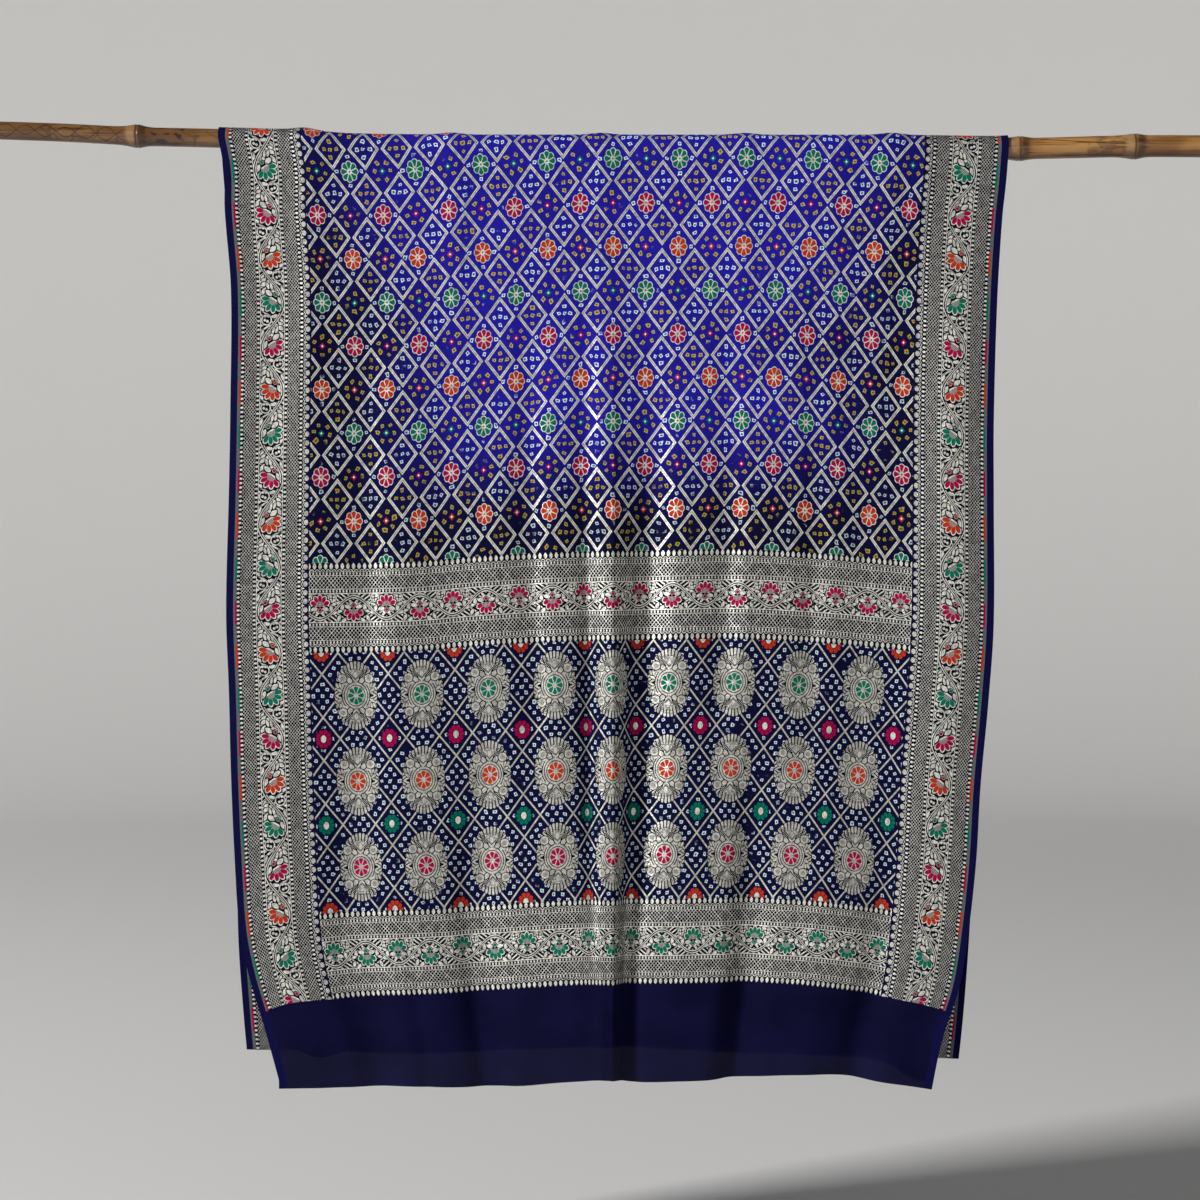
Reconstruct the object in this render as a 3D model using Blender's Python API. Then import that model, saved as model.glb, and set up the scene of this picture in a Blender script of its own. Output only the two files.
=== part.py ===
"""A bandhani saree hung doubled over a crooked bamboo pole.

Metres, +Z up. X runs along the pole, -Y is the side that shows the pallu (the saree's worked end),
and the origin is on the pole's axis, above the pressed crease down the middle of the cloth.
"""

from collections import namedtuple
from math import cos, exp, pi, sin

import bmesh
import bpy

# Driving dimensions
CLOTH_WIDTH = 1.150
CLOTH_THICKNESS = 0.0010
LAYER_PITCH = 0.0019  # between the middles of two layers that lie together
POLE_LENGTH = 1.900
POLE_THIN_END = 0.0255  # diameters
POLE_THICK_END = 0.0325
SEAT_CLEARANCE = 0.0005  # from the pole's wood to the inner layer
POLE_SIDES_SETTING = 5  # bevel resolution of the pole's round section: 14 sides

# The bottom of the doubled back, where the saree is folded in half, is a soft loop
LOOP_RADIUS = 0.0045
LOOP_HEIGHT = 0.050

# The sheet's net: its widest strip, the strips beside a joint of the bamboo, the columns round the crease,
# and the shares of a fall's height at which it has a row, from the pole down
COLUMN_PITCH = 0.041
JOINT_STRIP = 0.020
CREASE_COLUMNS = (-0.095, -0.066, -0.042, 0.0, 0.017, 0.034, 0.064, 0.095)
FALL_ROWS = (0.03, 0.10, 0.21, 0.34, 0.47, 0.60, 0.72, 0.82, 0.90, 0.96)
WRAP_STEPS = 8
LOOP_STEPS = 6

HALF_WIDTH = CLOTH_WIDTH / 2

# The pole's axis, which bends a little, mostly at the joints of the bamboo
Bend = namedtuple("Bend", "x y z")
POLE_BENDS = [
    Bend(x=-0.940, y=0.000, z=0.0248),
    Bend(x=-0.806, y=0.002, z=0.0206),
    Bend(x=-0.695, y=0.003, z=0.0153),
    Bend(x=-0.578, y=0.002, z=0.0124),
    Bend(x=-0.450, y=0.001, z=0.0080),
    Bend(x=-0.384, y=0.000, z=0.0029),
    Bend(x=-0.236, y=0.000, z=0.0007),
    Bend(x=0.000, y=0.000, z=0.0000),
    Bend(x=0.192, y=-0.001, z=-0.0007),
    Bend(x=0.406, y=-0.001, z=-0.0012),
    Bend(x=0.593, y=-0.002, z=-0.0034),
    Bend(x=0.761, y=0.001, z=0.0007),
    Bend(x=0.940, y=0.002, z=0.0002),
]

# The joints of the bamboo: their places along the pole and how far each stands proud
Joint = namedtuple("Joint", "x swell")
POLE_JOINTS = [
    Joint(x=-0.928, swell=0.0035),
    Joint(x=-0.695, swell=0.0038),
    Joint(x=-0.450, swell=0.0034),
    Joint(x=-0.236, swell=0.0028),
    Joint(x=-0.018, swell=0.0026),
    Joint(x=0.192, swell=0.0026),
    Joint(x=0.406, swell=0.0030),
    Joint(x=0.593, swell=0.0026),
    Joint(x=0.761, swell=0.0030),
    Joint(x=0.926, swell=0.0030),
]
# The ridge of one joint: distance along the pole and share of the swell
JOINT_RIDGE = [(-0.014, 0.0), (-0.006, 0.30), (-0.0015, 1.0), (0.0015, 0.85), (0.005, 0.35), (0.014, 0.0)]

# Half widths of the hanging cloth, by the drop below the pole's axis
Outline = namedtuple("Outline", "drop left right")
FRONT_OUTLINE = [
    Outline(drop=0.000, left=0.575, right=0.575),
    Outline(drop=0.050, left=0.566, right=0.571),
    Outline(drop=0.107, left=0.565, right=0.565),
    Outline(drop=0.224, left=0.556, right=0.558),
    Outline(drop=0.400, left=0.557, right=0.553),
    Outline(drop=0.516, left=0.559, right=0.553),
    Outline(drop=0.692, left=0.563, right=0.553),
    Outline(drop=0.808, left=0.559, right=0.545),
    Outline(drop=0.925, left=0.556, right=0.534),
    Outline(drop=1.042, left=0.551, right=0.527),
    Outline(drop=1.158, left=0.543, right=0.514),
    Outline(drop=1.224, left=0.529, right=0.502),
    Outline(drop=1.297, left=0.507, right=0.478),
    Outline(drop=1.373, left=0.486, right=0.462),
]
BACK_OUTLINE = [
    Outline(drop=0.000, left=0.575, right=0.575),
    Outline(drop=0.224, left=0.560, right=0.560),
    Outline(drop=0.662, left=0.560, right=0.551),
    Outline(drop=0.808, left=0.557, right=0.546),
    Outline(drop=1.027, left=0.552, right=0.530),
    Outline(drop=1.173, left=0.549, right=0.521),
    Outline(drop=1.275, left=0.542, right=0.513),
    Outline(drop=1.335, left=0.536, right=0.506),
]

# Lower edges, by the place across the flat cloth
Edge = namedtuple("Edge", "across z")
PALLU_HEM = [
    Edge(across=-0.575, z=-1.373),
    Edge(across=-0.380, z=-1.370),
    Edge(across=-0.195, z=-1.370),
    Edge(across=-0.090, z=-1.361),
    Edge(across=-0.020, z=-1.358),
    Edge(across=0.050, z=-1.363),
    Edge(across=0.160, z=-1.360),
    Edge(across=0.390, z=-1.351),
    Edge(across=0.480, z=-1.362),
    Edge(across=0.575, z=-1.373),
]
INNER_END = [
    Edge(across=-0.575, z=-1.307),
    Edge(across=-0.535, z=-1.315),
    Edge(across=-0.500, z=-1.328),
    Edge(across=-0.450, z=-1.319),
    Edge(across=-0.365, z=-1.306),
    Edge(across=0.000, z=-1.311),
    Edge(across=0.270, z=-1.313),
    Edge(across=0.420, z=-1.325),
    Edge(across=0.495, z=-1.336),
    Edge(across=0.535, z=-1.357),
    Edge(across=0.575, z=-1.363),
]
BACK_FOLD = [
    Edge(across=-0.575, z=-1.321),
    Edge(across=-0.300, z=-1.326),
    Edge(across=0.000, z=-1.318),
    Edge(across=0.300, z=-1.329),
    Edge(across=0.575, z=-1.335),
]

# Vertical folds. A positive depth pushes the cloth back, away from the side that shows the pallu.
# It grows from one drop, start, to another, full, and dies out again before a third, gone
NEVER = 9.0
DYING_OUT = 0.35
Fold = namedtuple("Fold", "across width depth start full gone")
FRONT_FOLDS = [
    Fold(across=-0.372, width=0.024, depth=0.006, start=0.05, full=0.60, gone=1.05),
    Fold(across=-0.240, width=0.032, depth=0.009, start=0.05, full=0.60, gone=1.00),
    Fold(across=-0.128, width=0.020, depth=0.009, start=0.05, full=0.60, gone=1.05),
    Fold(across=-0.042, width=0.016, depth=0.012, start=0.10, full=0.75, gone=1.25),
    Fold(across=0.060, width=0.028, depth=0.022, start=0.10, full=0.75, gone=1.25),
    Fold(across=0.178, width=0.022, depth=0.009, start=0.05, full=0.60, gone=1.05),
    Fold(across=0.306, width=0.020, depth=0.009, start=0.05, full=0.60, gone=1.05),
    Fold(across=0.400, width=0.075, depth=0.012, start=0.00, full=0.40, gone=1.15),
    Fold(across=0.500, width=0.035, depth=-0.006, start=0.00, full=0.40, gone=1.20),
    Fold(across=0.036, width=0.028, depth=0.020, start=0.90, full=1.25, gone=NEVER),
    Fold(across=-0.045, width=0.085, depth=-0.014, start=0.75, full=1.20, gone=NEVER),
    Fold(across=-0.409, width=0.045, depth=0.012, start=0.70, full=1.15, gone=NEVER),
    Fold(across=-0.325, width=0.012, depth=0.002, start=0.80, full=1.15, gone=NEVER),
    Fold(across=-0.215, width=0.036, depth=0.014, start=0.70, full=1.15, gone=NEVER),
    Fold(across=-0.236, width=0.014, depth=0.006, start=0.80, full=1.10, gone=NEVER),
    Fold(across=0.165, width=0.055, depth=-0.008, start=0.75, full=1.20, gone=NEVER),
    Fold(across=0.238, width=0.034, depth=0.013, start=0.70, full=1.15, gone=NEVER),
    Fold(across=0.222, width=0.014, depth=0.005, start=0.80, full=1.10, gone=NEVER),
    Fold(across=0.355, width=0.045, depth=-0.007, start=0.75, full=1.20, gone=NEVER),
    Fold(across=0.437, width=0.034, depth=0.012, start=0.80, full=1.20, gone=NEVER),
]
BACK_FOLDS = [
    Fold(across=-0.440, width=0.050, depth=0.008, start=0.05, full=1.10, gone=NEVER),
    Fold(across=-0.300, width=0.045, depth=-0.006, start=0.05, full=1.10, gone=NEVER),
    Fold(across=-0.160, width=0.040, depth=0.009, start=0.10, full=1.20, gone=NEVER),
    Fold(across=0.010, width=0.060, depth=0.010, start=0.02, full=0.80, gone=NEVER),
    Fold(across=0.170, width=0.040, depth=-0.005, start=0.10, full=1.10, gone=NEVER),
    Fold(across=0.290, width=0.045, depth=0.010, start=0.05, full=1.20, gone=NEVER),
    Fold(across=0.430, width=0.040, depth=-0.006, start=0.10, full=1.10, gone=NEVER),
    Fold(across=0.530, width=0.035, depth=0.005, start=0.30, full=1.20, gone=NEVER),
]

# The pressed crease down the middle: a sharp ridge, and the cloth that it and its two troughs take up
CREASE_HEIGHT = 0.009
CREASE_WIDTH = 0.016
CREASE_STARTS = 0.10
CREASE_FULL = 0.75
TAKEN_UP_LEFT = 0.012
TAKEN_UP_RIGHT = 0.014
REACH_LEFT = 0.075
REACH_RIGHT = 0.050
TAKEN_UP_STARTS = 0.42
TAKEN_UP_FULL = 0.80
TAKEN_UP_MORE = 1.15  # and how much more of it there is that far down
MORE_TAKEN_UP = 0.40

ZARI_BLUE = (0.030, 0.028, 0.110)
BAMBOO_BROWN = (0.33, 0.19, 0.085)


def rise(value, low, high):
    """0 below low, 1 above high and smooth between."""
    share = min(max((value - low) / (high - low), 0.0), 1.0)
    return share * share * (3.0 - 2.0 * share)


def read_off(rows, place, column):
    """The value of a table's column on a smooth curve through its rows, whose first column is place."""
    last = len(rows) - 1
    place = min(max(place, rows[0][0]), rows[last][0])
    at = max(i for i in range(last) if rows[i][0] <= place)
    near, far = rows[at], rows[at + 1]
    before, after = rows[max(at - 1, 0)], rows[min(at + 2, last)]
    step = far[0] - near[0]
    share = (place - near[0]) / step
    start, end = getattr(near, column), getattr(far, column)
    slope_in = (end - getattr(before, column)) / (far[0] - before[0]) * step
    slope_out = (getattr(after, column) - start) / (after[0] - near[0]) * step
    square, cube = share**2, share**3
    return (
        (2 * cube - 3 * square + 1) * start
        + (cube - 2 * square + share) * slope_in
        + (3 * square - 2 * cube) * end
        + (cube - square) * slope_out
    )


def link(thing, material):
    """Puts an object in the scene with its material."""
    bpy.context.scene.collection.objects.link(thing)
    thing.data.materials.append(material)
    return thing


def finish(name, colour, roughness, metallic=0.0):
    """A plain Principled material."""
    material = bpy.data.materials.new(name)
    material.use_nodes = True
    shader = material.node_tree.nodes["Principled BSDF"]
    shader.inputs["Base Color"].default_value = (*colour, 1.0)
    shader.inputs["Roughness"].default_value = roughness
    shader.inputs["Metallic"].default_value = metallic
    return material


# Bamboo pole


def pole_axis(x):
    """The depth and height of the pole's axis."""
    return read_off(POLE_BENDS, x, "y"), read_off(POLE_BENDS, x, "z")


def pole_radius(x):
    """The wood's radius between joints."""
    share = (x + POLE_LENGTH / 2) / POLE_LENGTH
    return (POLE_THIN_END + share * (POLE_THICK_END - POLE_THIN_END)) / 2


def nearest_joint(x):
    """The distance along the pole to the nearest joint of the bamboo."""
    return min(abs(x - joint.x) for joint in POLE_JOINTS)


def pole_stations():
    """Every ring of the pole, as its place along the pole and its radius."""
    end = POLE_LENGTH / 2
    places = [-end, end]
    places += [bend.x for bend in POLE_BENDS if nearest_joint(bend.x) > JOINT_STRIP]
    places += [(near.x + far.x) / 2 for near, far in zip(POLE_JOINTS, POLE_JOINTS[1:])]
    stations = {x: pole_radius(x) for x in places}
    for joint in POLE_JOINTS:
        for along, share in JOINT_RIDGE:
            stations[joint.x + along] = pole_radius(joint.x + along) + share * joint.swell
    return sorted(stations.items())


def make_pole():
    """The pole is a round curve whose section swells at each joint, cut square at both ends."""
    curve = bpy.data.curves.new("bamboo_pole", "CURVE")
    curve.dimensions = "3D"
    curve.bevel_depth = 1.0
    curve.bevel_resolution = POLE_SIDES_SETTING
    curve.use_fill_caps = True
    stations = pole_stations()
    spline = curve.splines.new("POLY")
    spline.points.add(len(stations) - 1)
    for point, (x, radius) in zip(spline.points, stations):
        point.co = (x, *pole_axis(x), 1.0)
        point.radius = radius
    spline.use_smooth = True
    return link(bpy.data.objects.new("bamboo_pole", curve), finish("bamboo", BAMBOO_BROWN, 0.35))


# Saree


def column_places():
    """Where the sheet's net has a column: at the edges, the crease, its troughs and each joint it lies on."""
    fixed = {-HALF_WIDTH, HALF_WIDTH, *CREASE_COLUMNS}
    for joint in POLE_JOINTS:
        if abs(joint.x) < HALF_WIDTH - JOINT_STRIP:
            fixed.add(joint.x)
        if CREASE_COLUMNS[-1] < abs(joint.x) < HALF_WIDTH - JOINT_STRIP:
            fixed.update((joint.x - JOINT_STRIP, joint.x + JOINT_STRIP))
    fixed = sorted(fixed)
    places = [fixed[0]]
    for near, far in zip(fixed, fixed[1:]):
        count = max(1, round((far - near) / COLUMN_PITCH))
        places += [near + (far - near) * (i + 1) / count for i in range(count)]
    return places


def seat_radius(across):
    """The radius that the inner face of the cloth keeps round the pole's axis."""
    bump = max(joint.swell * exp(-(((across - joint.x) / JOINT_STRIP) ** 2)) for joint in POLE_JOINTS)
    return pole_radius(across) + bump + SEAT_CLEARANCE


def fold_depth(folds, across, drop):
    """How far the folds push a fall back, away from the side that shows the pallu."""
    return sum(
        fold.depth
        * exp(-(((across - fold.across) / fold.width) ** 2))
        * rise(drop, fold.start, fold.full)
        * (1.0 - rise(drop, fold.gone - DYING_OUT, fold.gone))
        for fold in folds
    )


def hanging_x(outline, across, drop, drawn_in):
    """The place along the pole of a point of a fall, drawn in towards the crease."""
    if across < 0:
        taken_up, reach, half = TAKEN_UP_LEFT, REACH_LEFT, read_off(outline, drop, "left")
    else:
        taken_up, reach, half = TAKEN_UP_RIGHT, REACH_RIGHT, read_off(outline, drop, "right")
    taken_up *= drawn_in
    aside = abs(across) / HALF_WIDTH * (half + taken_up) - taken_up * rise(abs(across), 0.0, reach)
    return -aside if across < 0 else aside


def front_point(across, share, edge, layer):
    """A point of the front fall. share runs from 0 at the pole to 1 at the lower edge."""
    depth, top = pole_axis(across)
    z = top + (read_off(edge, across, "z") - top) * share
    drop = top - z
    crease = CREASE_HEIGHT * rise(drop, CREASE_STARTS, CREASE_FULL) * exp(-abs(across) / CREASE_WIDTH)
    y = depth - layer + fold_depth(FRONT_FOLDS, across, drop) - crease
    drawn_in = rise(drop, TAKEN_UP_STARTS, TAKEN_UP_FULL)
    drawn_in += MORE_TAKEN_UP * rise(drop, TAKEN_UP_FULL, TAKEN_UP_MORE)
    return hanging_x(FRONT_OUTLINE, across, drop, drawn_in), y, z


def back_point(across, share, side):
    """A point of the back fall, whose two layers part towards the loop. side is 1 on the outer layer."""
    depth, top = pole_axis(across)
    bottom = read_off(BACK_FOLD, across, "z") + LOOP_RADIUS
    z = top + (bottom - top) * share
    parted = 1.0 - rise(z, bottom, bottom + LOOP_HEIGHT)
    half_gap = LAYER_PITCH / 2 + (LOOP_RADIUS - LAYER_PITCH / 2) * parted
    middle = depth + seat_radius(across) + (CLOTH_THICKNESS + LAYER_PITCH) / 2
    y = middle + fold_depth(BACK_FOLDS, across, top - z) + side * half_gap
    return hanging_x(BACK_OUTLINE, across, top - z, 0.0), y, z


def loop_point(across, turn):
    """A point of the loop that joins the back's layers. turn runs from 0 on the outer layer to pi."""
    x, y, z = back_point(across, 1.0, 0)
    return x, y + LOOP_RADIUS * cos(turn), z - LOOP_RADIUS * sin(turn)


def wrap_point(across, layer, turn):
    """A point of the stretch that lies over the pole. turn runs from 0 at the front to pi at the back."""
    depth, top = pole_axis(across)
    return across, depth - layer * cos(turn), top + layer * sin(turn)


def sheet_line(across):
    """One warp line of the saree, from the pallu's hem to the inner end."""
    inner = seat_radius(across) + CLOTH_THICKNESS / 2
    outer = inner + LAYER_PITCH
    down = FALL_ROWS
    line = [front_point(across, 1.0, PALLU_HEM, outer)]
    line += [front_point(across, share, PALLU_HEM, outer) for share in reversed(down)]
    line += [wrap_point(across, outer, pi * i / WRAP_STEPS) for i in range(WRAP_STEPS + 1)]
    line += [back_point(across, share, 1) for share in down]
    line += [loop_point(across, pi * i / LOOP_STEPS) for i in range(LOOP_STEPS + 1)]
    line += [back_point(across, share, -1) for share in reversed(down)]
    line += [wrap_point(across, inner, pi - pi * i / WRAP_STEPS) for i in range(WRAP_STEPS + 1)]
    line += [front_point(across, share, INNER_END, inner) for share in down]
    line += [front_point(across, 1.0, INNER_END, inner)]
    return line


def make_saree():
    """The saree is one sheet: a flat net, hung line by line and given its thickness."""
    lines = [sheet_line(across) for across in column_places()]
    columns, rows = len(lines) - 1, len(lines[0]) - 1
    net = bmesh.new()
    bmesh.ops.create_grid(net, x_segments=columns, y_segments=rows, size=0.5)
    for knot in net.verts:
        column = round((knot.co.x + 0.5) * columns)
        row = round((knot.co.y + 0.5) * rows)
        knot.co = lines[column][row]
    mesh = bpy.data.meshes.new("saree_cloth")
    net.to_mesh(mesh)
    net.free()
    mesh.shade_smooth()
    saree = link(bpy.data.objects.new("saree_cloth", mesh), finish("zari_cloth", ZARI_BLUE, 0.6))
    thickness = saree.modifiers.new("thickness", "SOLIDIFY")
    thickness.thickness = CLOTH_THICKNESS
    thickness.offset = 0.0
    thickness.use_even_offset = True
    return saree


for leftover in list(bpy.data.objects):
    bpy.data.objects.remove(leftover, do_unlink=True)
make_pole()
make_saree()
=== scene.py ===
"""A bandhani saree hung doubled over a crooked bamboo pole.

Metres, +Z up. X runs along the pole, -Y is the side that shows the pallu (the saree's worked end),
and the origin is on the pole's axis, above the pressed crease down the middle of the cloth.
"""

from collections import namedtuple
from math import cos, exp, pi, sin

import bmesh
import bpy
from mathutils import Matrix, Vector


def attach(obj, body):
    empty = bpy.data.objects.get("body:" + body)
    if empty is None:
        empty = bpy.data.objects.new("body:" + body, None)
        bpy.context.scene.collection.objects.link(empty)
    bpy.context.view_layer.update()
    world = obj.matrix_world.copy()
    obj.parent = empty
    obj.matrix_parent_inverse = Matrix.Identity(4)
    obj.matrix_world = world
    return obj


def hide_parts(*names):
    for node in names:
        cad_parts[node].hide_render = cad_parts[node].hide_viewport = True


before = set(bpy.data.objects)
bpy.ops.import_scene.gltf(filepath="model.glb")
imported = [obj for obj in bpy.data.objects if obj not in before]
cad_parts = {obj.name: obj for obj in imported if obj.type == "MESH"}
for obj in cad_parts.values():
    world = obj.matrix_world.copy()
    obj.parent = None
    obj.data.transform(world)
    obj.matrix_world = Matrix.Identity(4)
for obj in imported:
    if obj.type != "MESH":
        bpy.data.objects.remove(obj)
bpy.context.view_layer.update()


# The photographer's studio. The camera looks level and square at the cloth from four metres, and the floor is
# a pale paper that curves up all round. One large soft light stands far off and high on the left.

VIEW_CENTRE = (-0.019, -0.662)
VIEW_WIDTH = 1.752  # across the picture, where the cloth hangs
CAMERA_DISTANCE = 4.0
SENSOR = 36.0
FLOOR_HEIGHT = -1.62
FLOOR_RADIUS = 8.0
SWEEP_RADIUS = 3.0
SWEEP_TOP = 4.8
PAPER = (0.80, 0.79, 0.77, 1.0)
DAYLIGHT = (0.93, 0.96, 1.0, 1.0)
DAYLIGHT_STRENGTH = 0.10


def add_object(name, data):
    """Puts a mesh, light or camera in the scene."""
    thing = bpy.data.objects.new(name, data)
    bpy.context.scene.collection.objects.link(thing)
    return thing


def add_mesh(name, form):
    """Turns a finished bmesh into an object with smooth faces."""
    mesh = bpy.data.meshes.new(name)
    form.to_mesh(mesh)
    form.free()
    mesh.shade_smooth()
    return add_object(name, mesh)


lens = bpy.data.cameras.new("camera")
lens.sensor_width = SENSOR
lens.lens = SENSOR * CAMERA_DISTANCE / VIEW_WIDTH
camera = add_object("camera", lens)
camera.location = (VIEW_CENTRE[0], -CAMERA_DISTANCE, VIEW_CENTRE[1])
camera.rotation_euler = (pi / 2, 0.0, 0.0)
bpy.context.scene.camera = camera

paper = bmesh.new()
profile = [(FLOOR_RADIUS * i / 4, 0.0) for i in range(5)]
for turn in [pi / 2 * i / 12 for i in range(1, 13)]:
    profile.append((FLOOR_RADIUS + SWEEP_RADIUS * sin(turn), SWEEP_RADIUS * (1.0 - cos(turn))))
profile.append((FLOOR_RADIUS + SWEEP_RADIUS, SWEEP_TOP))
edge = [paper.verts.new((out, 0.0, FLOOR_HEIGHT + up)) for out, up in profile]
for low, high in zip(edge, edge[1:]):
    paper.edges.new((low, high))
outline = paper.edges[:] + paper.verts[:]
bmesh.ops.spin(paper, geom=outline, axis=(0, 0, 1), cent=(0, 0, 0), angle=2 * pi, steps=64, use_merge=True)
bmesh.ops.remove_doubles(paper, verts=paper.verts[:], dist=1e-4)
bmesh.ops.recalc_face_normals(paper, faces=paper.faces[:])
bmesh.ops.reverse_faces(paper, faces=paper.faces[:])
studio_floor = add_mesh("studio_floor", paper)
studio_paper = bpy.data.materials.new("studio_paper")
studio_paper.use_nodes = True
matt = studio_paper.node_tree.nodes["Principled BSDF"]
matt.inputs["Base Color"].default_value = PAPER
matt.inputs["Roughness"].default_value = 0.9
studio_floor.data.materials.append(studio_paper)


def soft_light(name, place, aim, size, power):
    """A square soft box that the camera doesn't see."""
    box = bpy.data.lights.new(name, "AREA")
    box.size = size
    box.energy = power
    light = add_object(name, box)
    light.location = place
    light.rotation_euler = (Vector(aim) - Vector(place)).to_track_quat("-Z", "Y").to_euler()
    light.visible_camera = False


soft_light("key_light", place=(-11.0, -6.4, 5.3), aim=(0.0, 0.0, -0.6), size=2.6, power=2250.0)
soft_light("fill_light", place=(2.6, -4.2, 0.4), aim=(0.0, 0.0, -0.7), size=2.4, power=6.0)

world = bpy.data.worlds.new("studio_air")
world.use_nodes = True
air = world.node_tree.nodes["Background"]
air.inputs["Color"].default_value = DAYLIGHT
air.inputs["Strength"].default_value = DAYLIGHT_STRENGTH
bpy.context.scene.world = world
bpy.context.scene.view_settings.view_transform = "Standard"


# The bamboo pole: one natural culm, a little crooked and thicker at its right end, cut square at both ends.
# Each joint has the scar of a fallen sheath in a swollen ridge, and old sap lines run over the smooth skin.

POLE_LENGTH = 1.900
POLE_THIN_END = 0.0255  # diameters
POLE_THICK_END = 0.0325
POLE_SIDES = 56
POLE_STEP = 0.012


def table(columns, *rows):
    """Rows of millimetres, as metres under the names of their columns."""
    row_of = namedtuple("Row", columns)
    return [row_of(*(figure / 1000 for figure in row)) for row in rows]


POLE_BENDS = table(
    "x y z",
    (-940, 0, 24.8), (-806, 2, 20.6), (-695, 3, 15.3), (-578, 2, 12.4), (-450, 1, 8), (-384, 0, 2.9),
    (-236, 0, 0.7), (0, 0, 0), (192, -1, -0.7), (406, -1, -1.2), (593, -2, -3.4), (761, 1, 0.7),
    (940, 2, 0.2),
)

POLE_JOINTS = table(
    "x swell",
    (-928, 3.5), (-695, 3.8), (-450, 3.4), (-236, 2.8), (-18, 2.6), (192, 2.6), (406, 3), (593, 2.6),
    (761, 3), (926, 3),
)
JOINT_REACH = 0.036  # to both sides
# One joint: distance along the pole and thousandths of the swell, with the scar as a notch in its top
JOINT_RIDGE = table(
    "place share",
    (-34, 0), (-24, 100), (-14, 380), (-7, 720), (-3, 920), (-1.2, 1000), (-0.4, 780), (0.6, 740),
    (1.6, 980), (4, 920), (8, 660), (13, 320), (19, 100), (26, 0),
)


def read_off(rows, place, column):
    """The value of a table's column on a smooth curve through its rows, whose first column is place."""
    last = len(rows) - 1
    place = min(max(place, rows[0][0]), rows[last][0])
    at = max(i for i in range(last) if rows[i][0] <= place)
    near, far = rows[at], rows[at + 1]
    before, after = rows[max(at - 1, 0)], rows[min(at + 2, last)]
    step = far[0] - near[0]
    share = (place - near[0]) / step
    start, end = getattr(near, column), getattr(far, column)
    slope_in = (end - getattr(before, column)) / (far[0] - before[0]) * step
    slope_out = (getattr(after, column) - start) / (after[0] - near[0]) * step
    square, cube = share**2, share**3
    return (
        (2 * cube - 3 * square + 1) * start
        + (cube - 2 * square + share) * slope_in
        + (3 * square - 2 * cube) * end
        + (cube - square) * slope_out
    )


def pole_axis(x):
    """The depth and height of the pole's axis."""
    return read_off(POLE_BENDS, x, "y"), read_off(POLE_BENDS, x, "z")


def pole_radius(x):
    """The wood's radius between joints."""
    share = (x + POLE_LENGTH / 2) / POLE_LENGTH
    return (POLE_THIN_END + share * (POLE_THICK_END - POLE_THIN_END)) / 2


def from_joint(x):
    """The signed distance from the nearest joint."""
    return min((x - joint.x for joint in POLE_JOINTS), key=abs)


def pole_stations():
    """The rings of the pole: even between the joints and close together on them."""
    end = POLE_LENGTH / 2
    count = round(POLE_LENGTH / POLE_STEP)
    places = [-end + POLE_LENGTH * i / count for i in range(count + 1)]
    kept = [x for x in places if abs(from_joint(x)) > JOINT_REACH or abs(x) == end]
    for joint in POLE_JOINTS:
        kept += [x for x in (joint.x + step.place for step in JOINT_RIDGE) if abs(x) < end]
    return sorted(kept)


def swollen_radius(x, turn):
    """The radius round one ring, with the joints' ridges and the slightly uneven, fluted skin."""
    joint = min(POLE_JOINTS, key=lambda one: abs(x - one.x))
    ridge = joint.swell * read_off(JOINT_RIDGE, x - joint.x, "share")
    fluted = 0.00022 * sin(2 * turn + 3.0 * x) + 0.00012 * sin(5 * turn + 9.0 * x)
    ragged = 0.12 * sin(3 * turn + 40 * joint.x) + 0.07 * sin(7 * turn + 90 * joint.x)
    return pole_radius(x) + ridge * (1.0 + ragged) + fluted


def make_pole():
    """A flat net rolled into a tube along the pole's axis, with its ends filled."""
    stations = pole_stations()
    rows = len(stations) - 1
    net = bmesh.new()
    bmesh.ops.create_grid(net, x_segments=rows, y_segments=POLE_SIDES, size=0.5)
    joint_distance = net.verts.layers.float.new("from_joint")
    near_joint = net.verts.layers.float.new("near_joint")
    height_on_pole = net.verts.layers.float.new("above_axis")
    for knot in net.verts:
        x = stations[round((knot.co.x + 0.5) * rows)]
        turn = 2 * pi * round((knot.co.y + 0.5) * POLE_SIDES) / POLE_SIDES
        depth, height = pole_axis(x)
        radius = swollen_radius(x, turn)
        knot[joint_distance] = from_joint(x)
        knot[near_joint] = 1.0 if abs(from_joint(x)) < JOINT_REACH else 0.0
        knot[height_on_pole] = radius * sin(turn)
        knot.co = (x, depth + radius * cos(turn), height + radius * sin(turn))
    bmesh.ops.remove_doubles(net, verts=net.verts[:], dist=1e-6)
    rims = [rim for rim in net.edges if rim.is_boundary]
    bmesh.ops.holes_fill(net, edges=rims, sides=0)
    bmesh.ops.recalc_face_normals(net, faces=net.faces[:])
    for face in net.faces:
        if len(face.verts) > 4:
            for rim in face.edges:
                rim.smooth = False
    return add_mesh("bamboo_culm", net)


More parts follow.
